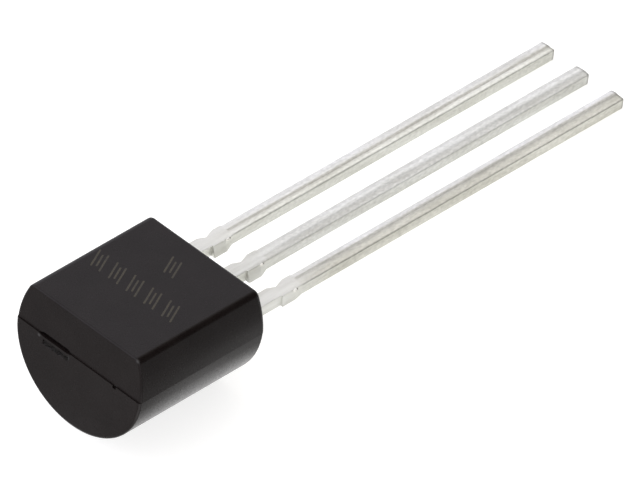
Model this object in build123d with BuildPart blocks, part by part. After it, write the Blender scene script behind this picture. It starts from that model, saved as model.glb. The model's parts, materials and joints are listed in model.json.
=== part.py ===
from build123d import *
import os
from math import asin, atan2, cos, hypot, radians, sin, tan

# Three-lead transistor in a moulded D-shaped body, lying on its round back and its lead tips.
# It is drawn on planes of its own: x along the leads and away from the body, y across the row,
# z out of the flat face, with zero where the flat face's plane meets the body's lead end.
# All sizes are in millimetres and all angles in degrees.

# --- moulded body ------------------------------------------------------------
body_length = 4.6          # along the leads, measured at the parting plane
body_width = 4.5           # across the leads, measured at the parting plane
flat_width = 3.9           # the flat half at its face, before its long edges are rounded
flat_depth = 1.25          # from the flat face down to the parting plane
lead_end_draft = 5.0       # slope of the flat half's end at the leads
free_end_draft = 1.5       # and of its other end
back_end_draft = 1.0       # slope of the round half's two ends
mould_shift = 0.035        # the round half sits this far away from the leads
long_edge_radius = 0.2     # between the flat face and the two curved sides
lead_end_radius = 0.12     # round the flat half's end at the leads
free_end_radius = 0.06     # and round its free end
back_edge_radius = 0.08    # round both ends of the round half

gate_width = 1.2           # slot where the moulding was torn off its runner
gate_rise = 0.08           # how far it reaches above the parting plane
gate_drop = 0.04           # and below it
gate_depth = 0.15
gate_taper = 0.16          # each end of the slot runs out over this much
gate_offset = 0.84         # from the middle of the body, across the leads
chip_width = 0.92          # chip that the torn runner took out of the end below the slot
chip_height = 0.17
chip_depth = 0.06
chip_slope = 30            # its walls lean outwards
chip_offset = 0.81
chip_lip = 0.08            # left standing between the slot and the chip
vent_width = 0.12          # small mark of the mould's air vent
vent_height = 0.08
vent_depth = 0.08
vent_offset = 1.32         # to the other side of the middle

# --- leads -------------------------------------------------------------------
pitch = 1.27               # between neighbouring leads
lead_width = 0.48
lead_thickness = 0.34
lead_length = 14.4         # from the body's lead end to the tips
far_edge_drop = 0.02       # each lead's upper face falls this much from its crest to one edge
collector_crest = 0.08     # the crest's distance from the lead's middle, towards that edge
base_crest = 0.02
emitter_crest = 0.02
crease_width = 0.08        # beside the crest of the two outer leads runs a fine crease
crease_depth = 0.017
collector_edge_drop = 0.034  # and the other edge lies this far below the crest
base_edge_drop = 0.026
emitter_edge_drop = 0.004
edge_roll = 0.04           # the punch rounds the upper edges of each lead
tip_radius = 0.12          # the sides and the upper edge of each tip are rounded off

dambar_start = 1.4         # where the strip's cross bar was cut away
dambar_length = 0.46
stub = 0.12                # what the trimming punch left of the bar between two leads
outer_stub = 0.06          # and of the bar beyond the row
stub_top_share = 0.1       # the cut slopes, so this share of a stub is left at its upper face
trim_slope = 0.3           # how far along the lead the cut runs out
nick = 0.11                # what the punch bit out of the other side of each lead
nick_offset = 0.12         # from the dambar's start to the deepest point of the bite
neck_relief = 0.02         # the lead is narrower between the body and the dambar
neck_inset = 0.3           # the narrow neck starts this far inside the body

# --- inside the body ---------------------------------------------------------
pad_length = 1.7           # the collector lead's pad, which carries the chip
pad_width = 2.0
pad_start = 2.0            # from the lead end in to the pad
pad_lock_radius = 0.2      # hole that the moulding fills, to lock the pad in place
pad_lock_inset = 0.4       # from the pad's two outer edges in to the hole's middle
post_gap = 0.4             # between the base post and the pad
base_post_length = 0.55
base_post_width = 1.0
emitter_post_start = 2.5
emitter_post_length = 0.9
emitter_post_width = 0.65
root_radius = 0.1          # inner corners of the stamped strip

die_size = 0.42
die_thickness = 0.2
attach_margin = 0.03       # the silver epoxy creeps out this far round the chip
attach_thickness = 0.03
die_inset = 0.8            # from the pad's near edge in to the chip's middle
die_offset = 0.5           # from the row's middle across to the chip's middle

wire_diameter = 0.05
wire_rise = 0.3            # height of the wire's loop over the chip
wire_bend = 0.08
ball_radius = 0.06
ball_height = 0.03
wire_level = 0.35          # share of the span that the loop crosses before it slopes down
stitch_length = 0.16       # the wire's flattened end on its post
stitch_width = 0.1
stitch_thickness = 0.03
bond_spacing = 0.18        # between the two bonds on the chip

# --- lying pose --------------------------------------------------------------
# The middle of the leads' own weight lies beyond the body's lead end, so the part rests on
# the rounded heel of its back and on the lower edges of its three tips.
back_radius = body_width / 2
frame_top = -flat_depth
frame_bottom = frame_top - lead_thickness
heel_height = frame_top - back_radius + back_edge_radius
end_lean = tan(radians(back_end_draft)) * (frame_top - heel_height)
end_reach = back_edge_radius / cos(radians(back_end_draft))
heel_x = -mould_shift - end_lean - end_reach
far_heel_x = -mould_shift - body_length + end_lean + end_reach

span = lead_length - heel_x
drop = frame_bottom - heel_height
lying_tilt = atan2(drop, span) + asin(back_edge_radius / hypot(span, drop))

floor = frame_bottom * cos(lying_tilt) - lead_length * sin(lying_tilt)
tip_x = lead_length - tip_radius
reach_front = tip_x * cos(lying_tilt) + (frame_top - tip_radius) * sin(lying_tilt) + tip_radius
reach_back = far_heel_x * cos(lying_tilt) + heel_height * sin(lying_tilt) - back_edge_radius
middle = (reach_front + reach_back) / 2

# Planes of the lying part: flat lies in the flat face, section looks along the leads
# and profile looks across them.
flat = Plane(
    origin=(-middle, 0, -floor),
    x_dir=(cos(lying_tilt), 0, -sin(lying_tilt)),
    z_dir=(sin(lying_tilt), 0, cos(lying_tilt)),
)
section = Plane(origin=flat.origin, x_dir=flat.y_dir, z_dir=flat.x_dir)
profile = Plane(origin=flat.origin, x_dir=flat.x_dir, z_dir=-flat.y_dir)
parting = flat.offset(frame_top)
along = Axis(flat.origin, flat.x_dir)
across = Axis(flat.origin, flat.y_dir)
up = Axis(flat.origin, flat.z_dir)


# --- leads -------------------------------------------------------------------
def outer_lead(y, stub_width, crest, crease, edge_drop):
    """A lead from just inside the body: neck, trimmed dambar and shank, centred on y."""
    dambar_end = dambar_start + dambar_length
    shank_start = dambar_end + trim_slope
    near = y - lead_width / 2
    far = y + lead_width / 2
    with BuildPart() as lead:
        with BuildSketch(parting):
            with BuildLine():
                Polyline(
                    (-neck_inset, near + neck_relief),
                    (shank_start, near + neck_relief),
                    (shank_start, far),
                    (dambar_end, far),
                    (dambar_start + nick_offset, far - nick),
                    (dambar_start - nick_offset, far),
                    (-neck_inset, far),
                    close=True,
                )
            make_face()
        extrude(amount=-lead_thickness)
        for x, top_edge, bottom_edge in (
            (dambar_start, near - stub_top_share * stub_width, near - stub_width),
            (dambar_end, near - stub_top_share * stub_width, near - stub_width),
            (shank_start, near, near),
        ):
            with BuildSketch(section.offset(x)):
                with BuildLine():
                    Polyline(
                        (y, frame_top),
                        (top_edge, frame_top),
                        (bottom_edge, frame_bottom),
                        (y, frame_bottom),
                        close=True,
                    )
                make_face()
        loft(ruled=True)
        with BuildSketch(section.offset(shank_start)) as shank:
            with BuildLine():
                Polyline(
                    (near, frame_bottom),
                    (far, frame_bottom),
                    (far, frame_top - far_edge_drop),
                    (y + crest, frame_top),
                    (y + crest - crease_width, frame_top - crease),
                    (near, frame_top - edge_drop),
                    close=True,
                )
            make_face()
            near_corner = shank.vertices().group_by(Axis.X)[0].sort_by(Axis.Y)[-1]
            far_corner = shank.vertices().group_by(Axis.X)[-1].sort_by(Axis.Y)[-1]
            fillet([near_corner, far_corner], edge_roll)
        extrude(amount=lead_length - shank_start)
        tip_face = lead.faces().sort_by(along)[-1]
        fillet(tip_face.edges() - tip_face.edges().sort_by(up)[:1], tip_radius)
    return lead.part


collector_shank = outer_lead(
    -pitch, outer_stub, collector_crest, crease_depth, collector_edge_drop
)
base_shank = outer_lead(0, stub, base_crest, 0, base_edge_drop)
emitter_shank = outer_lead(pitch, stub, emitter_crest, crease_depth, emitter_edge_drop)

collector_edge = -pitch - lead_width / 2
emitter_edge = pitch + lead_width / 2
pad_end = pad_start + pad_length

with BuildPart() as collector_lead:
    add(collector_shank)
    with BuildSketch(parting) as collector_plan:
        with Locations((-(neck_inset + pad_start) / 2, -pitch)):
            Rectangle(pad_start - neck_inset, lead_width)
        with Locations((-pad_start - pad_length / 2, collector_edge + pad_width / 2)):
            Rectangle(pad_length, pad_width)
        inner_corner = (-pad_start, -pitch + lead_width / 2)
        fillet(collector_plan.vertices().sort_by_distance(inner_corner)[0], root_radius)
        with Locations((pad_lock_inset - pad_end, collector_edge + pad_lock_inset)):
            Circle(pad_lock_radius, mode=Mode.SUBTRACT)
    extrude(amount=-lead_thickness)

post_start = pad_start - post_gap - base_post_length
with BuildPart() as base_lead:
    add(base_shank)
    with BuildSketch(parting):
        with Locations((-(neck_inset + post_start) / 2, 0)):
            Rectangle(post_start - neck_inset, lead_width)
        with Locations((-post_start - base_post_length / 2, 0)):
            Rectangle(base_post_length, base_post_width)
    extrude(amount=-lead_thickness)

with BuildPart() as emitter_lead:
    add(emitter_shank)
    with BuildSketch(parting):
        with Locations((-(neck_inset + emitter_post_start) / 2, pitch)):
            Rectangle(emitter_post_start - neck_inset, lead_width)
        with Locations((-emitter_post_start, emitter_edge)):
            Rectangle(emitter_post_length, emitter_post_width, align=(Align.MAX, Align.MAX))
    extrude(amount=-lead_thickness)


# --- chip --------------------------------------------------------------------
die_x = -pad_start - die_inset
die_y = -die_offset
die_top = frame_top + attach_thickness + die_thickness

with BuildPart() as die_attach:
    with BuildSketch(parting):
        with Locations((die_x, die_y)):
            Rectangle(die_size + 2 * attach_margin, die_size + 2 * attach_margin)
    extrude(amount=attach_thickness)

with BuildPart() as transistor_die:
    with BuildSketch(parting.offset(attach_thickness)):
        with Locations((die_x, die_y)):
            Rectangle(die_size, die_size)
    extrude(amount=die_thickness)


# --- bond wires --------------------------------------------------------------
def bond_wire(start, end):
    """A wire from its ball on the chip at start to its stitch on a post at end, both (x, y)."""
    foot = flat.from_local_coords((start[0], start[1], die_top))
    head = flat.from_local_coords((end[0], end[1], die_top))
    run = head - foot
    wire_plane = Plane(origin=foot, x_dir=run, z_dir=run.cross(flat.z_dir))
    seat = Plane(origin=foot, x_dir=run, z_dir=flat.z_dir)
    post = frame_top - die_top
    rest = post + stitch_thickness
    with BuildPart() as wire:
        with BuildSketch(seat):
            Circle(ball_radius)
        extrude(amount=ball_height)
        with BuildLine(wire_plane) as loop:
            FilletPolyline(
                (0, ball_height / 2),
                (0, wire_rise),
                (wire_level * run.length, wire_rise),
                (run.length - stitch_length, rest),
                (run.length - stitch_length / 2, rest),
                radius=wire_bend,
            )
        with BuildSketch(seat.offset(ball_height / 2)):
            Circle(wire_diameter / 2)
        sweep(path=loop.line)
        with BuildSketch(seat.offset(post)):
            with Locations((run.length - stitch_length / 2, 0)):
                Rectangle(stitch_length, stitch_width)
        extrude(amount=stitch_thickness)
    return wire.part


base_bond = (-post_start - base_post_length / 2, 0)
emitter_bond = (-emitter_post_start - emitter_post_length / 2, emitter_edge - emitter_post_width / 2)
base_loop = bond_wire((die_x + bond_spacing / 2, die_y), base_bond)
emitter_loop = bond_wire((die_x - bond_spacing / 2, die_y), emitter_bond)

with BuildPart() as base_bond_wire:
    add(base_loop)

with BuildPart() as emitter_bond_wire:
    add(emitter_loop)


# --- moulded body ------------------------------------------------------------
# Each mould half is shaped and rounded by itself, and the two meet at the parting plane.
# A section across the body is a half circle below that plane, and above it two arcs that leave
# the plane upright and lean in to the flat face.
with BuildPart() as flat_half:
    with BuildSketch(section.offset(-body_length)) as flat_section:
        with BuildLine():
            Line((-back_radius, frame_top), (back_radius, frame_top))
            TangentArc((back_radius, frame_top), (flat_width / 2, 0), tangent=(0, 1))
            Line((flat_width / 2, 0), (-flat_width / 2, 0))
            TangentArc((-back_radius, frame_top), (-flat_width / 2, 0), tangent=(0, 1))
        make_face()
        fillet(flat_section.vertices().group_by(Axis.Y)[-1], long_edge_radius)
    extrude(amount=body_length)
    lead_end_slope = tan(radians(lead_end_draft)) * flat_depth
    free_end_slope = tan(radians(free_end_draft)) * flat_depth
    with BuildSketch(profile):
        with BuildLine():
            Polyline(
                (-body_length, frame_top),
                (0, frame_top),
                (-lead_end_slope, 0),
                (free_end_slope - body_length, 0),
                close=True,
            )
        make_face()
    extrude(amount=back_radius, both=True, mode=Mode.INTERSECT)
    lead_end_face = flat_half.faces().sort_by(along)[-1]
    fillet(lead_end_face.edges().sort_by(up)[1:], lead_end_radius)
    free_end_face = flat_half.faces().sort_by(along)[0]
    fillet(free_end_face.edges().sort_by(up)[1:], free_end_radius)

with BuildPart() as round_half:
    with BuildSketch(section.offset(-mould_shift - body_length)):
        with Locations((0, frame_top)):
            Circle(back_radius)
            Rectangle(body_width, back_radius, align=(Align.CENTER, Align.MIN), mode=Mode.SUBTRACT)
    extrude(amount=body_length)
    lean = tan(radians(back_end_draft)) * back_radius
    with BuildSketch(profile):
        with BuildLine():
            Polyline(
                (-mould_shift - body_length, frame_top),
                (-mould_shift, frame_top),
                (-mould_shift - lean, frame_top - back_radius),
                (lean - mould_shift - body_length, frame_top - back_radius),
                close=True,
            )
        make_face()
    extrude(amount=back_radius, both=True, mode=Mode.INTERSECT)
    end_arcs = round_half.edges().filter_by(along, reverse=True).filter_by(GeomType.LINE, reverse=True)
    fillet(end_arcs, back_edge_radius)

free_end = section.offset(-mould_shift - body_length)
with BuildPart() as moulded_body:
    add(flat_half.part)
    add(round_half.part)
    with BuildSketch(free_end):
        with BuildLine():
            Polyline(
                (gate_offset - gate_width / 2, frame_top),
                (gate_offset - gate_width / 2 + gate_taper, frame_top + gate_rise),
                (gate_offset + gate_width / 2 - gate_taper, frame_top + gate_rise),
                (gate_offset + gate_width / 2, frame_top),
                (gate_offset + gate_width / 2 - gate_taper, frame_top - gate_drop),
                (gate_offset - gate_width / 2 + gate_taper, frame_top - gate_drop),
                close=True,
            )
        make_face()
    extrude(amount=gate_depth, mode=Mode.SUBTRACT)
    with BuildSketch(free_end):
        with Locations((chip_offset, frame_top - gate_drop - chip_lip - chip_height / 2)):
            Rectangle(chip_width, chip_height)
    extrude(amount=chip_depth, taper=chip_slope, mode=Mode.SUBTRACT)
    with BuildSketch(free_end):
        with Locations((-vent_offset, frame_top - vent_height / 2)):
            Rectangle(vent_width, vent_height)
    extrude(amount=vent_depth, mode=Mode.SUBTRACT)
    # the moulding fills everything round the pieces that it encloses
    for enclosed in (collector_lead, base_lead, emitter_lead, die_attach, transistor_die):
        add(enclosed.part, mode=Mode.SUBTRACT)
    for enclosed in (base_bond_wire, emitter_bond_wire):
        add(enclosed.part, mode=Mode.SUBTRACT)


# --- labels and files --------------------------------------------------------
os.makedirs("parts", exist_ok=True)

moulded_body.part.label = "moulded_body"
export_step(moulded_body.part, "parts/moulded_body.step")
collector_lead.part.label = "collector_lead"
export_step(collector_lead.part, "parts/collector_lead.step")
base_lead.part.label = "base_lead"
export_step(base_lead.part, "parts/base_lead.step")
emitter_lead.part.label = "emitter_lead"
export_step(emitter_lead.part, "parts/emitter_lead.step")
die_attach.part.label = "die_attach"
export_step(die_attach.part, "parts/die_attach.step")
transistor_die.part.label = "transistor_die"
export_step(transistor_die.part, "parts/transistor_die.step")
base_bond_wire.part.label = "base_bond_wire"
export_step(base_bond_wire.part, "parts/base_bond_wire.step")
emitter_bond_wire.part.label = "emitter_bond_wire"
export_step(emitter_bond_wire.part, "parts/emitter_bond_wire.step")
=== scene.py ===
# %% [markdown]
# # A small transistor
# The part is a chip of silicon moulded into a D-shaped block of black epoxy, on three tinned leads.
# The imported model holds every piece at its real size, so this script adds what a drawing leaves out:
# the finish of each surface, the laser marks, the torn patch at the gate, three burrs on the leads,
# the light and the camera.

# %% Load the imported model
import json
from math import radians

import bpy
from mathutils import Matrix, Vector, noise


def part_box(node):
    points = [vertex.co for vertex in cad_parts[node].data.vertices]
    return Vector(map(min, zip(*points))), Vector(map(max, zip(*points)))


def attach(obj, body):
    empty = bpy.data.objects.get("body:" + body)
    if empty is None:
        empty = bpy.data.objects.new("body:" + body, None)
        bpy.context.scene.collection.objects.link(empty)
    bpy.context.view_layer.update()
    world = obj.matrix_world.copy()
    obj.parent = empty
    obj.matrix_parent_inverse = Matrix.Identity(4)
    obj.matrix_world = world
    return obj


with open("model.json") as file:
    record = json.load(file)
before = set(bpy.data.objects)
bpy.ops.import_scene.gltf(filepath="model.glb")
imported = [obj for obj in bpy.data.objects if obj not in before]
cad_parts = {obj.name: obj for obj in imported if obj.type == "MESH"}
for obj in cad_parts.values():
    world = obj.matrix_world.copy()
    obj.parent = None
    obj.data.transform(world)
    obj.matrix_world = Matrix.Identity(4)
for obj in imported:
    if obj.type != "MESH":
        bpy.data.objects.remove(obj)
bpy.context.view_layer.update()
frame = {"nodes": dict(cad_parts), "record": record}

mm = 0.001
for name in sorted(frame["nodes"]):
    low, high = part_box(name)
    print(name, "mm:", [round(size / mm, 3) for size in high - low])

# %% [markdown]
# ## Where the part lies
# The part lies on its round back and on its lead tips, so its flat face is a few degrees off level.
# New pieces could be drawn in that tilted place, but they are far easier to draw flat at the origin.
# The record names the middle of the flat face and its direction, and with those two a matrix is built.
# It takes a point given in the part's own directions, along the leads, across them and out of the face,
# to its place. Everything new is drawn first and is then laid down with this matrix.

# %% The part's own directions
mounts = {mount["name"]: mount for mount in frame["record"]["mounts"]}
face_middle = Vector(mounts["flat_side"]["pos_m"])
out_of_face = Vector(mounts["flat_side"]["axis"]).normalized()
across_leads = Vector((0, 1, 0))
along_leads = across_leads.cross(out_of_face)
lying = Matrix((along_leads, across_leads, out_of_face)).transposed().to_4x4()
lying.translation = face_middle
lying_tilt = out_of_face.angle(Vector((0, 0, 1)))
pitch = mounts["lead_row"]["dims"]["spacing_y_mm"] * mm
print("lying tilt, radians:", round(lying_tilt, 4))

# %% [markdown]
# ## Floor
# The part lies on a white table. A plane is enough for it, because only its top is ever seen. It lies
# a hundredth of a millimetre under the part, so that the two share no surface.

# %% White floor
bpy.ops.object.select_all(action="DESELECT")
floor_size = 1.2
floor_gap = 0.01 * mm
bpy.ops.mesh.primitive_plane_add(size=floor_size, location=(0, 0, -floor_gap))
floor = bpy.context.object
floor.name = "floor"
print("floor is", floor_size, "m wide")

# %% [markdown]
# ## Pools of light
# A camera ray sees the table lit a little from within, which keeps it white and still lets the shadow
# under the part show. The glossy moulding and leads mirror another table: plain paper with three oval
# pools of light. Lamps could throw such pools, but they would light the part from above as well. Here
# the paper glows by itself, and each pool is given by its middle, its reach and its strength. The first
# two are in millimetres, and the glow fades over the outer part of the reach.

# %% One pool of light
table_white = bpy.data.materials.new("table_white")
table_white.use_nodes = True
nodes = table_white.node_tree.nodes
links = table_white.node_tree.links
nodes.clear()
place = nodes.new("ShaderNodeTexCoord")
edge_softness = 0.25
pool_thickness = 10


def pool(middle, reach, strength):
    oval = nodes.new("ShaderNodeMapping")
    oval.vector_type = "TEXTURE"
    oval.inputs["Location"].default_value = Vector((*middle, 0)) * mm
    oval.inputs["Scale"].default_value = Vector((*reach, pool_thickness)) * mm
    inward = nodes.new("ShaderNodeTexGradient")
    inward.gradient_type = "SPHERICAL"
    fade = nodes.new("ShaderNodeMapRange")
    fade.interpolation_type = "SMOOTHSTEP"
    fade.inputs["From Max"].default_value = edge_softness
    fade.inputs["To Max"].default_value = strength
    links.new(place.outputs["Object"], oval.inputs["Vector"])
    links.new(oval.outputs["Vector"], inward.inputs["Vector"])
    links.new(inward.outputs["Fac"], fade.inputs["Value"])
    return fade.outputs["Result"]


print("share of its reach over which a pool fades:", edge_softness)

# %% [markdown]
# The pools are summed one after another, starting from the dark. Two tables could be swapped by hand,
# but a Light Path node does it by itself: it tells the camera's rays from all others. The glow is added
# to the paper's own white.

# %% White paper
pools = [
    ((1.5, 0.5), (12, 7.5), 0.6),
    ((-6.3, 0.4), (4.2, 4), 0.8),
    ((-11.7, -4.7), (3, 2.5), 1.5),
]
camera_glow = 0.75
dark = nodes.new("ShaderNodeValue")
dark.outputs[0].default_value = 0
light_so_far = dark.outputs[0]
for middle, reach, strength in pools:
    total = nodes.new("ShaderNodeMath")
    links.new(light_so_far, total.inputs[0])
    links.new(pool(middle, reach, strength), total.inputs[1])
    light_so_far = total.outputs[0]

rays = nodes.new("ShaderNodeLightPath")
glow = nodes.new("ShaderNodeMix")
glow.inputs["B"].default_value = camera_glow
links.new(light_so_far, glow.inputs["A"])
links.new(rays.outputs["Is Camera Ray"], glow.inputs["Factor"])

paper = nodes.new("ShaderNodeBsdfDiffuse")
paper.inputs["Color"].default_value = (0.55, 0.55, 0.52, 1)
own_light = nodes.new("ShaderNodeEmission")
lit_paper = nodes.new("ShaderNodeAddShader")
output = nodes.new("ShaderNodeOutputMaterial")
links.new(glow.outputs["Result"], own_light.inputs["Strength"])
links.new(paper.outputs[0], lit_paper.inputs[0])
links.new(own_light.outputs[0], lit_paper.inputs[1])
links.new(lit_paper.outputs[0], output.inputs["Surface"])
floor.data.materials.append(table_white)
print("pools of light:", len(pools))

# %% [markdown]
# ## Light
# Small shiny parts are best lit by a tent of white cloth, so that light comes from everywhere. One side
# of the tent is left open to the dark, which shows as a dark band in every rounded edge, and the cloth is
# a little warmer near it. A soft lamp shines through the cloth on the other side. The tent could be built
# from panels, but a world colour does the same and has no seams. `facing` measures how squarely a
# direction of the world faces a given one, from -1 to 1, and `fill_ramp` puts colours in a ramp.

# %% Directions and colours of the tent
world = bpy.data.worlds.new("light_tent")
bpy.context.scene.world = world
world.use_nodes = True
nodes = world.node_tree.nodes
links = world.node_tree.links
sky = nodes["Background"]
world_direction = nodes.new("ShaderNodeTexCoord").outputs["Generated"]


def facing(azimuth, height):
    turned = Matrix.Rotation(azimuth, 3, "Z") @ Matrix.Rotation(-height, 3, "Y")
    dot = nodes.new("ShaderNodeVectorMath")
    dot.operation = "DOT_PRODUCT"
    dot.inputs[1].default_value = turned @ Vector((1, 0, 0))
    links.new(world_direction, dot.inputs[0])
    return dot.outputs["Value"]


def fill_ramp(ramp, stops):
    elements = ramp.color_ramp.elements
    elements.remove(elements[1])
    elements[0].position = stops[0][0]
    elements[0].color = (*stops[0][1], 1)
    for position, colour in stops[1:]:
        elements.new(position).color = (*colour, 1)


print("nodes in the tent so far:", len(nodes))

# %% [markdown]
# The cloth's colours run from the far side of the tent to its open side, and the strength runs from the
# plain cloth to the middle of the lamp. Both could change at a sharp edge, but cloth shows none, and a
# sharp edge would be mirrored as a line in the moulding.

# %% Light tent
open_side = (radians(-39), radians(30))
lamp_side = (radians(139), radians(43))
cloth_colours = [
    (0.0, (0.90, 0.90, 0.98)),
    (0.45, (0.88, 0.86, 0.93)),
    (0.68, (0.62, 0.6, 0.54)),
    (0.84, (0.03, 0.027, 0.023)),
]
cloth_strength, lamp_strength = 1.4, 2.3
lamp_edge, lamp_middle = 0.75, 0.97

cloth = nodes.new("ShaderNodeValToRGB")
fill_ramp(cloth, cloth_colours)
links.new(facing(*open_side), cloth.inputs["Fac"])
links.new(cloth.outputs["Color"], sky.inputs["Color"])

lamp = nodes.new("ShaderNodeMapRange")
lamp.interpolation_type = "SMOOTHSTEP"
lamp.inputs["From Min"].default_value = lamp_edge
lamp.inputs["From Max"].default_value = lamp_middle
lamp.inputs["To Min"].default_value = cloth_strength
lamp.inputs["To Max"].default_value = lamp_strength
links.new(facing(*lamp_side), lamp.inputs["Value"])
links.new(lamp.outputs["Result"], sky.inputs["Strength"])
print("light from the cloth:", cloth_strength, "and from the lamp:", lamp_strength)

# %% [markdown]
# ## Camera
# The camera is far away with a long lens, so the leads stay nearly parallel. It could be placed by its
# coordinates, but a direction round and above the point that it aims at is easier to change. It looks
# down over the free end of the body and is rolled a little to one side.

# %% Camera
camera_distance = 0.5
camera_azimuth = radians(-140.92)
camera_height = radians(39.55)
camera_roll = radians(8.10)
aim_from_face = Vector((4.416, -1.907, 0.534)) * mm
turn = Matrix.Rotation(camera_azimuth, 3, "Z") @ Matrix.Rotation(-camera_height, 3, "Y")
towards_camera = turn @ Vector((1, 0, 0))
camera_data = bpy.data.cameras.new("camera")
camera_data.lens = 1087.7
camera_data.sensor_width = 36
camera_data.clip_end = 5
camera = bpy.data.objects.new("camera", camera_data)
bpy.context.scene.collection.objects.link(camera)
level = towards_camera.to_track_quat("Z", "Y")
camera.matrix_world = (
    lying
    @ Matrix.Translation(aim_from_face + camera_distance * towards_camera)
    @ level.to_matrix().to_4x4()
    @ Matrix.Rotation(camera_roll, 4, "Z")
)
bpy.context.scene.camera = camera
bpy.context.scene.view_settings.view_transform = "Standard"
print("camera is", camera_distance, "m away, with a lens of", round(camera_data.lens, 1), "mm")

# %% [markdown]
# ## Finishes
# Every finish is built from noise over the part's own coordinates. Painted pictures could be used, but
# they have seams and turn coarse from close by. `own_place` measures those coordinates in cells, whose
# three sizes in millimetres run along the leads, across them and out of the face. The cells start a
# little off the face, so that no flat surface lies on their grid. `grain` is noise in such cells.

# %% Where a point is on the part
grid_start = (0.011, 0.013, 0.017)


def new_finish(name):
    finish = bpy.data.materials.new(name)
    finish.use_nodes = True
    return finish, finish.node_tree, finish.node_tree.nodes["Principled BSDF"]


def own_place(tree, cell, start=grid_start):
    place = tree.nodes.new("ShaderNodeTexCoord")
    own = tree.nodes.new("ShaderNodeMapping")
    own.vector_type = "TEXTURE"
    own.inputs["Location"].default_value = lying @ (Vector(start) * mm)
    own.inputs["Rotation"].default_value = lying.to_euler()
    own.inputs["Scale"].default_value = Vector(cell) * mm
    tree.links.new(place.outputs["Object"], own.inputs["Vector"])
    return own.outputs["Vector"]


def grain(tree, cell, detail=2):
    cells = tree.nodes.new("ShaderNodeTexNoise")
    cells.inputs["Scale"].default_value = 1
    cells.inputs["Detail"].default_value = detail
    tree.links.new(own_place(tree, cell), cells.inputs["Vector"])
    return cells.outputs["Fac"]


print("grid starts off the face by, mm:", grid_start)

# %% [markdown]
# Noise stays mostly between 0.3 and 0.7. `between` stretches that span to a number for roughness or
# strength, and `banded` and `shades` turn it into colours. A picture could give such values too, but a
# ramp of a few colours is easy to read and to change.

# %% From noise to numbers and colours
noise_low, noise_high = 0.3, 0.7


def between(tree, amount, low, high, start=noise_low, end=noise_high):
    spread = tree.nodes.new("ShaderNodeMapRange")
    spread.inputs["From Min"].default_value = start
    spread.inputs["From Max"].default_value = end
    spread.inputs["To Min"].default_value = low
    spread.inputs["To Max"].default_value = high
    tree.links.new(amount, spread.inputs["Value"])
    return spread.outputs["Result"]


def banded(tree, amount, bands):
    ramp = tree.nodes.new("ShaderNodeValToRGB")
    fill_ramp(ramp, bands)
    tree.links.new(amount, ramp.inputs["Fac"])
    return ramp.outputs["Color"]


def shades(tree, amount, dark, light, start=noise_low, end=noise_high):
    return banded(tree, amount, [(start, dark), (end, light)])


print("noise is stretched between", noise_low, "and", noise_high)

# %% [markdown]
# `multiply` lays one tint over another, and `blend` goes from one colour to another, where each is a
# plain colour or a node's output. A Mix node has sockets for numbers, directions and colours under the
# same names, so the ones for colours are told apart by their numbers. `relief` raises noise as height.
# Dents in the mesh would do that too, but they would need millions of faces for a grain this fine.

# %% From colour to colour, and height
mix_share, mix_first, mix_second, mix_result = 0, 6, 7, 2


def multiply(tree, first, second):
    product = tree.nodes.new("ShaderNodeVectorMath")
    product.operation = "MULTIPLY"
    tree.links.new(first, product.inputs[0])
    tree.links.new(second, product.inputs[1])
    return product.outputs[0]


def blend(tree, share, first, second):
    mix = tree.nodes.new("ShaderNodeMix")
    mix.data_type = "RGBA"
    tree.links.new(share, mix.inputs[mix_share])
    for socket, colour in ((mix_first, first), (mix_second, second)):
        if isinstance(colour, tuple):
            mix.inputs[socket].default_value = (*colour, 1)
        else:
            tree.links.new(colour, mix.inputs[socket])
    return mix.outputs[mix_result]


def relief(tree, shader, height, depth):
    bump = tree.nodes.new("ShaderNodeBump")
    bump.inputs["Distance"].default_value = depth * mm
    tree.links.new(height, bump.inputs["Height"])
    tree.links.new(bump.outputs["Normal"], shader.inputs["Normal"])


print("colour inputs of a Mix node:", mix_first, "and", mix_second)

# %% [markdown]
# ## Moulding compound
# The black epoxy is filled with fine glass powder. The mould leaves it half glossy, with a fine grain
# and faint clouds. Three pale spots are painted into its colour: a painted highlight on a corner of the
# flat face, a pale spot by the far end of the gate slot, and a painted highlight on the lit wall at the
# near end of the chip below it. They could be painted, but a soft ball of colour at a place needs no
# picture. Each is given by its middle, its reach and its colour.

# %% Painted highlights and a pale spot
painted_highlights_and_pale_spot = [
    # painted highlight on a corner of the flat face
    ((-2.28, -1.94, -0.02), (0.09, 0.09, 0.09), (0.05, 0.048, 0.046)),
    # pale spot by the far end of the gate slot
    ((-2.33, 1.41, -1.33), (0.06, 0.06, 0.06), (0.05, 0.048, 0.046)),
    # painted highlight on the lit wall at the near end of the chip
    ((-2.33, 0.337, -1.4), (0.06, 0.05, 0.1), (0.022, 0.021, 0.02)),
]
full_spot_share = 0.6


def with_highlights_and_pale_spot(tree, colour):
    for middle, reach, spot_colour in painted_highlights_and_pale_spot:
        inward = tree.nodes.new("ShaderNodeTexGradient")
        inward.gradient_type = "SPHERICAL"
        tree.links.new(own_place(tree, reach, middle), inward.inputs["Vector"])
        share = between(tree, inward.outputs["Fac"], 0, 1, start=0, end=full_spot_share)
        colour = blend(tree, share, colour, spot_colour)
    return colour


print("scuffs:", len(painted_highlights_and_pale_spot))

# %% [markdown]
# The epoxy is nearly black in itself. What is seen of it is mostly the mirrored tent, so its roughness
# and its low specular level matter more than its colour. A deeper bump could stand in for the powder,
# but it would glitter, so most of the grain is in the roughness.

# %% Black moulding
black_moulding, tree, shader = new_finish("black_moulding")
powder = grain(tree, (0.05, 0.05, 0.05), detail=3)
clouds = grain(tree, (0.9, 0.9, 0.9))
black = shades(tree, clouds, (0.0073, 0.005, 0.0046), (0.0102, 0.0075, 0.0069))
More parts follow.
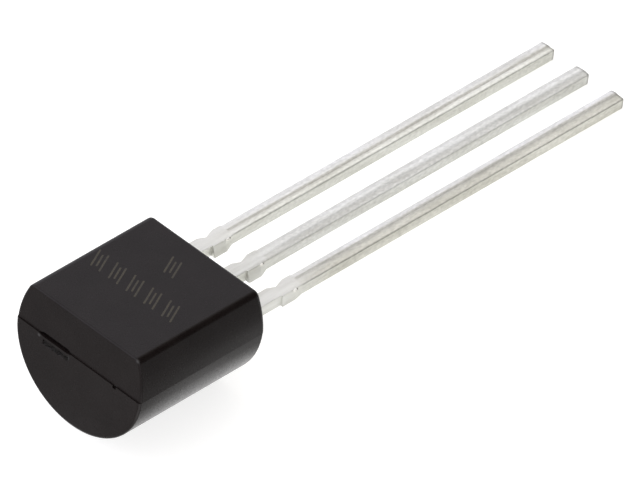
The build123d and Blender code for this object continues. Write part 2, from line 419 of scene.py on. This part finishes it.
# the black with its painted highlights and the pale spot
tree.links.new(with_highlights_and_pale_spot(tree, black), shader.inputs["Base Color"])
tree.links.new(between(tree, powder, 0.26, 0.4), shader.inputs["Roughness"])
shader.inputs["Specular IOR Level"].default_value = 0.17
relief(tree, shader, powder, depth=0.002)
print("nodes in black_moulding:", len(tree.nodes))

# %% [markdown]
# ## Tinned leads
# The leads are dipped in tin. Each lead has its own bands of tint across its width: painted highlights
# on its rounded top and painted shade along its creases and edges. Bands could be painted on each lead
# by its own unwrapping. The leads are straight and evenly spaced, so measuring is simpler: `place_in_row`
# tells where a point is along the leads, across one space of the row with the lead in its middle third,
# and above the face.

# %% Place in the row
half_space = 0.5


def place_in_row(tree):
    axes = tree.nodes.new("ShaderNodeSeparateXYZ")
    tree.links.new(own_place(tree, (1, pitch / mm, 1)), axes.inputs[0])
    half_row = tree.nodes.new("ShaderNodeMath")
    half_row.inputs[1].default_value = half_space
    tree.links.new(axes.outputs["Y"], half_row.inputs[0])
    within_row = tree.nodes.new("ShaderNodeMath")
    within_row.operation = "FRACT"
    tree.links.new(half_row.outputs[0], within_row.inputs[0])
    return axes.outputs["X"], within_row.outputs[0], axes.outputs["Z"]


print("one space of the row, mm:", round(pitch / mm, 3))

# %% [markdown]
# Drawing leaves long fine lines in the tin, and handling leaves dull patches. Oxide sits in fine pits,
# and both the pits and the painted bands of light and shade fade out where the lead comes out of the
# body. The end of each lead is darkened with painted shade. The near top edge is rubbed. One noise
# could stand for all of it, but with a noise or a fade for each, each can be changed by itself. These
# places are given in millimetres along the leads and above the face, and in spaces of the row across
# them.

# %% Tin
clean_until, pits_and_bands_from = 3.6, 5.6
clean_tin = (0.985, 0.985, 0.97)
cut_start, cut_end, end_painted_shade = 16.53, 16.6, 0.6
rubbed_until, rubbed_fades = 0.33, 0.37
rubbed_low, rubbed_high = -1.32, -1.29
patch_dulling = 0.1


def tin(name, roughness, rubbed_roughness, bands):
    finish, tree, shader = new_finish(name)
    along, across, above = place_in_row(tree)
    lines = grain(tree, (3.0, 0.03, 0.03), detail=3)
    patches = grain(tree, (2.5, 0.25, 0.25), detail=3)
    pits = grain(tree, (0.12, 0.06, 0.06), detail=4)

    pitted = shades(tree, pits, (1.06, 1.06, 1.06), (0.82, 0.82, 0.81))
    # bands of painted highlight and painted shade across the lead, times the oxide pits
    pits_and_painted_bands = multiply(tree, banded(tree, across, bands), pitted)
    pits_and_bands_share = between(tree, along, 0, 1, clean_until, pits_and_bands_from)
    faded_pits_and_bands = blend(tree, pits_and_bands_share, clean_tin, pits_and_painted_bands)
    worn = shades(tree, patches, (0.71, 0.71, 0.66), (0.85, 0.855, 0.82))
    tint = multiply(tree, worn, faded_pits_and_bands)
    # painted shade darkens the end of each lead
    tint = multiply(tree, tint, between(tree, along, 1, end_painted_shade, cut_start, cut_end))
    tree.links.new(tint, shader.inputs["Base Color"])

    near_edge = between(tree, across, 1, 0, rubbed_until, rubbed_fades)
    top_edge = between(tree, above, 0, 1, rubbed_low, rubbed_high)
    rubbed = tree.nodes.new("ShaderNodeMix")
    tree.links.new(multiply(tree, near_edge, top_edge), rubbed.inputs["Factor"])
    dulled = between(tree, patches, roughness + patch_dulling, roughness)
    tree.links.new(dulled, rubbed.inputs["A"])
    rubbed.inputs["B"].default_value = rubbed_roughness
    tree.links.new(rubbed.outputs["Result"], shader.inputs["Roughness"])
    shader.inputs["Metallic"].default_value = 0.6

    rough_lines = tree.nodes.new("ShaderNodeMath")
    tree.links.new(lines, rough_lines.inputs[0])
    tree.links.new(pits, rough_lines.inputs[1])
    relief(tree, shader, rough_lines.outputs[0], depth=0.005)
    print("nodes in", name + ":", len(tree.nodes))
    return finish


# %% [markdown]
# The painted light and shade lie differently on every lead, so one shared ramp would make them look like
# copies. The bands of each lead run from its near edge to its far one. Every line gives a place within
# the row space and the share of red, green and blue left there, above one for a painted highlight and
# below one for painted shade. The middle lead is a little duller.

# %% Tin of each lead
# painted highlights above one and painted shade below one, across each lead
collector_painted_bands = [
    (0.312, (0.89, 0.88, 0.83)),
    (0.345, (0.96, 0.95, 0.88)),
    (0.44, (0.84, 0.83, 0.77)),
    (0.487, (0.72, 0.71, 0.68)),
    (0.54, (0.97, 0.96, 0.95)),
    (0.60, (1.00, 1.00, 1.02)),
]
base_painted_bands = [
    (0.312, (0.96, 0.96, 0.96)),
    (0.322, (1.10, 1.10, 1.10)),
    (0.345, (1.10, 1.10, 1.10)),
    (0.37, (1.00, 1.00, 0.99)),
    (0.43, (0.88, 0.88, 0.87)),
    (0.46, (0.82, 0.82, 0.82)),
    (0.50, (1.01, 1.01, 1.01)),
    (0.54, (1.06, 1.06, 1.06)),
    (0.60, (0.92, 0.92, 0.92)),
]
emitter_painted_bands = [
    (0.312, (0.95, 0.95, 0.93)),
    (0.325, (1.10, 1.10, 1.06)),
    (0.345, (1.12, 1.12, 1.06)),
    (0.37, (1.08, 1.08, 1.01)),
    (0.40, (0.93, 0.93, 0.87)),
    (0.44, (0.80, 0.79, 0.75)),
    (0.47, (0.90, 0.89, 0.86)),
    (0.50, (1.02, 1.02, 1.00)),
    (0.60, (0.96, 0.96, 0.97)),
]
collector_tin = tin("collector_tin", roughness=0.38, rubbed_roughness=0.7, bands=collector_painted_bands)
base_tin = tin("base_tin", roughness=0.46, rubbed_roughness=1, bands=base_painted_bands)
emitter_tin = tin("emitter_tin", roughness=0.38, rubbed_roughness=0.7, bands=emitter_painted_bands)

# %% [markdown]
# ## Inside the moulding
# The chip is polished silicon under a thin clear oxide, glued down with epoxy full of silver flakes.
# Its two wires are of fine gold. All of this is out of sight in a whole part and shows only when the
# pieces are taken apart. One grey could serve for all, but each material has its own colour and shine,
# and the same helpers give them in a few lines.

# %% Silicon, silver epoxy and gold
polished_silicon, tree, shader = new_finish("polished_silicon")
clear_oxide = grain(tree, (0.15, 0.15, 0.15))
violet = shades(tree, clear_oxide, (0.10, 0.09, 0.14), (0.16, 0.13, 0.2))
shader.inputs["Metallic"].default_value = 0.8
tree.links.new(violet, shader.inputs["Base Color"])
tree.links.new(between(tree, clear_oxide, 0.1, 0.18), shader.inputs["Roughness"])

flaked_epoxy, tree, shader = new_finish("flaked_epoxy")
flakes = grain(tree, (0.02, 0.02, 0.02), detail=3)
silver = shades(tree, flakes, (0.35, 0.35, 0.34), (0.75, 0.75, 0.72))
shader.inputs["Metallic"].default_value = 0.9
tree.links.new(silver, shader.inputs["Base Color"])
tree.links.new(between(tree, flakes, 0.35, 0.65), shader.inputs["Roughness"])
relief(tree, shader, flakes, depth=0.003)

drawn_gold, tree, shader = new_finish("drawn_gold")
drawn = grain(tree, (0.02, 0.02, 0.02))
gold = shades(tree, drawn, (0.88, 0.62, 0.24), (1.0, 0.75, 0.34))
shader.inputs["Metallic"].default_value = 1
tree.links.new(gold, shader.inputs["Base Color"])
tree.links.new(between(tree, drawn, 0.18, 0.3), shader.inputs["Roughness"])
print("inner finishes:", polished_silicon.name, flaked_epoxy.name, drawn_gold.name)

# %% [markdown]
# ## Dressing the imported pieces
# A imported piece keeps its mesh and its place. Only its material is replaced, and a table of pieces and
# finishes is easier to read and to change than a line of code for each.

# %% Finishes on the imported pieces
def dress(piece, finish):
    piece.data.materials.clear()
    piece.data.materials.append(finish)
    print(piece.name, "is finished in", finish.name)


finishes = {
    "moulded_body": black_moulding,
    "collector_lead": collector_tin,
    "base_lead": base_tin,
    "emitter_lead": emitter_tin,
    "transistor_die": polished_silicon,
    "die_attach": flaked_epoxy,
    "base_bond_wire": drawn_gold,
    "emitter_bond_wire": drawn_gold,
}
for name, finish in finishes.items():
    dress(frame["nodes"][name], finish)

# %% [markdown]
# ## Shaping and laying down
# `edit_vertices` opens a piece in edit mode with only the vertices selected whose place passes a test,
# so that an operator acts on nothing else. What repeats is modelled once, and `copies_at` sets it and
# its copies out, each with its own mesh. An array modifier could do that where the steps are even, but
# not all of these are. `join_as` makes one piece of several, and `lay_down` turns a piece into the part's
# own directions. Both apply the turn to the mesh, so the piece's object stays at the origin.

# %% Helpers for new pieces
def edit_vertices(piece, wanted):
    bpy.ops.object.mode_set(mode="EDIT")
    bpy.ops.mesh.select_all(action="DESELECT")
    bpy.ops.object.mode_set(mode="OBJECT")
    for vertex in piece.data.vertices:
        vertex.select = wanted(vertex.co)
    bpy.ops.object.mode_set(mode="EDIT")


def copies_at(model, places):
    model.location = places[0]
    pieces = [model]
    for place in places[1:]:
        piece = model.copy()
        piece.data = model.data.copy()
        piece.location = place
        bpy.context.scene.collection.objects.link(piece)
        pieces.append(piece)
    return pieces


def join_as(name, pieces):
    bpy.ops.object.select_all(action="DESELECT")
    for piece in pieces:
        piece.select_set(True)
    bpy.context.view_layer.objects.active = pieces[0]
    bpy.ops.object.join()
    joined = bpy.context.object
    joined.name = name
    bpy.ops.object.transform_apply()
    return joined


def lay_down(piece):
    piece.matrix_world = lying
    bpy.ops.object.transform_apply()
    print(piece.name, "has", len(piece.data.polygons), "faces")


print("pieces are laid down round, mm:", [round(length / mm, 3) for length in lying.translation])

# %% [markdown]
# ## Laser marks
# A laser burns marks into the flat face and leaves them a dull olive. Here each mark is a plain hatch
# of three slanted strokes, with five marks in a row across the face and one by itself. Strokes could be
# drawn in the black finish, but thin pieces of their own stay crisp at any distance. A stroke is a flat
# disc whose two halves are pulled apart.

# %% One etched stroke
stroke_width = 0.055 * mm
stroke_depth = 0.006 * mm
stroke_rise = 0.002 * mm
slant = radians(24)


def etched_stroke(length):
    bpy.ops.object.select_all(action="DESELECT")
    bpy.ops.mesh.primitive_cylinder_add(vertices=20, radius=stroke_width / 2, depth=stroke_depth)
    stroke = bpy.context.object
    edit_vertices(stroke, lambda place: place.x > 0)
    bpy.ops.transform.translate(value=((length - stroke_width) / 2, 0, 0))
    bpy.ops.mesh.select_all(action="INVERT")
    bpy.ops.transform.translate(value=((stroke_width - length) / 2, 0, 0))
    bpy.ops.object.mode_set(mode="OBJECT")
    stroke.rotation_euler = (0, 0, slant)
    return stroke


print("stroke width, mm:", round(stroke_width / mm, 3))

# %% [markdown]
# The hatches are placed by their middles, measured from the middle of the flat face along the leads and
# across them. The middle stroke of each is shorter, so a hatch reads as a mark and not as a bar. Each of
# the two lengths is modelled once and copied, and all strokes become one piece.

# %% Six hatches
mark_row = -0.2 * mm
mark_spacing = 0.645 * mm
row_middle = 0.21 * mm
lone_mark = (1.1 * mm, 0.12 * mm)
stroke_spacing = 0.15 * mm
stroke_length = 0.72 * mm
middle_stroke_length = 0.7 * stroke_length
stroke_level = stroke_rise - stroke_depth / 2
marks = [(mark_row, row_middle + step * mark_spacing) for step in (-2, -1, 0, 1, 2)]
marks.append(lone_mark)
middle_places = [(along, across, stroke_level) for along, across in marks]
side_places = [
    (along, across + side * stroke_spacing, level)
    for along, across, level in middle_places
    for side in (-1, 1)
]
strokes = copies_at(etched_stroke(stroke_length), side_places)
strokes += copies_at(etched_stroke(middle_stroke_length), middle_places)

etched_marks = join_as("etched_marks", strokes)
lay_down(etched_marks)
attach(etched_marks, "root")
print("strokes:", len(strokes), "rise mm:", stroke_rise / mm)

# %% [markdown]
# The laser chars the epoxy and bares its filler, so the burnt lines are rough and barely shine. One flat
# olive would look printed. Fine noise gives them the lighter and darker spots of one pulse of the laser
# after another.

# %% Burnt olive finish
burnt_epoxy, tree, shader = new_finish("burnt_epoxy")
burn = grain(tree, (0.06, 0.06, 0.06), detail=3)
olive = shades(tree, burn, (0.022, 0.019, 0.013), (0.065, 0.055, 0.036))
tree.links.new(olive, shader.inputs["Base Color"])
tree.links.new(between(tree, burn, 0.6, 0.85), shader.inputs["Roughness"])
relief(tree, shader, burn, depth=0.004)
dress(etched_marks, burnt_epoxy)

# %% [markdown]
# ## Torn gate
# Where the moulding was snapped off its runner it broke rough. Bump alone would leave the edge of the
# break straight, so a small block with a crumpled face fills the chip below the gate slot. It is cut
# into a fine grid, and smooth noise moves each vertex along the leads and a little up or down.

# %% Torn patch
patch_place = Vector((-2.262, 0.81, -1.46)) * mm
patch_size = Vector((0.1, 0.84, 0.15)) * mm
crumple_depth, crumple_size = 0.06 * mm, 0.09 * mm
sway_depth, sway_size = 0.03 * mm, 0.2 * mm
bpy.ops.object.select_all(action="DESELECT")
bpy.ops.mesh.primitive_cube_add(size=1)
torn_patch = bpy.context.object
torn_patch.name = "torn_patch"
torn_patch.scale = patch_size
bpy.ops.object.transform_apply()
bpy.ops.object.mode_set(mode="EDIT")
bpy.ops.mesh.select_all(action="SELECT")
bpy.ops.mesh.subdivide(number_cuts=15)
bpy.ops.object.mode_set(mode="OBJECT")
for vertex in torn_patch.data.vertices:
    vertex.co.x += crumple_depth * noise.noise(vertex.co / crumple_size)
    vertex.co.z += sway_depth * noise.noise(vertex.co / sway_size)
torn_patch.location = patch_place
bpy.ops.object.transform_apply()
lay_down(torn_patch)
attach(torn_patch, "root")

# %% [markdown]
# The break has no glossy skin, so it mirrors little of the light, and its pits shade one another. The
# black finish with a deeper bump could be used, but it would keep the skin's shine.

# %% Torn epoxy
torn_epoxy, tree, shader = new_finish("torn_epoxy")
fracture = grain(tree, (0.08, 0.12, 0.05), detail=4)
broken = shades(tree, fracture, (0.0015, 0.0013, 0.0012), (0.016, 0.014, 0.012))
tree.links.new(broken, shader.inputs["Base Color"])
tree.links.new(between(tree, fracture, 0.5, 0.8), shader.inputs["Roughness"])
shader.inputs["Specular IOR Level"].default_value = 0.12
relief(tree, shader, fracture, depth=0.02)
dress(torn_patch, torn_epoxy)

# %% [markdown]
# ## Trim burrs
# The punch that cuts the leads apart rolls up a bright bead of tin at the end of each cut. It could be
# sculpted, but at this size a rounded bead is all that shows. The bead is a sphere drawn thinner at the
# end where the punch let go, and that end is darkened with painted shade. It is modelled once and
# copied, and the three differ a little in their place along the leads.

# %% Three burrs
burr_size = Vector((0.04, 0.04, 0.085)) * mm
burr_level = -1.285 * mm
edge_offset = 0.26 * mm
burr_places = [
    (4.18 * mm, -pitch - edge_offset, burr_level),
    (4.21 * mm, -edge_offset, burr_level),
    (4.26 * mm, pitch - edge_offset, burr_level),
]
thin_from, thin_share = 0.4, 0.7
bpy.ops.object.select_all(action="DESELECT")
bpy.ops.mesh.primitive_uv_sphere_add(segments=16, ring_count=12, radius=1)
burr = bpy.context.object
edit_vertices(burr, lambda place: place.z > thin_from)
bpy.ops.transform.resize(value=(thin_share, thin_share, 1), center_override=(0, 0, 0))
bpy.ops.object.mode_set(mode="OBJECT")
burr.scale = burr_size
burr.rotation_euler = (0, radians(90), 0)

trim_burrs = join_as("trim_burrs", copies_at(burr, burr_places))
lay_down(trim_burrs)
bpy.ops.object.shade_smooth()
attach(trim_burrs, "root")

# %% [markdown]
# The bright bead and its painted shade could be two pieces, but they are one bit of tin. The poles of the
# sphere point along the lead, so the second coordinate of its own unwrapping runs along the bead and
# tells the one from the other.

# %% Burred tin
painted_shade_start, painted_shade_end = 0.58, 0.66
burred_tin, tree, shader = new_finish("burred_tin")
unwrapped = tree.nodes.new("ShaderNodeSeparateXYZ")
tree.links.new(tree.nodes.new("ShaderNodeTexCoord").outputs["UV"], unwrapped.inputs[0])
# painted shade over the thin far end of the bead
painted_shade_share = between(tree, unwrapped.outputs["Y"], 0, 1, painted_shade_start, painted_shade_end)
bright_to_dark = shades(tree, painted_shade_share, (1, 0.99, 0.9), (0.16, 0.155, 0.14), start=0, end=1)
tree.links.new(bright_to_dark, shader.inputs["Base Color"])
tree.links.new(between(tree, painted_shade_share, 0.2, 0.8, start=0, end=1), shader.inputs["Roughness"])
dress(trim_burrs, burred_tin)
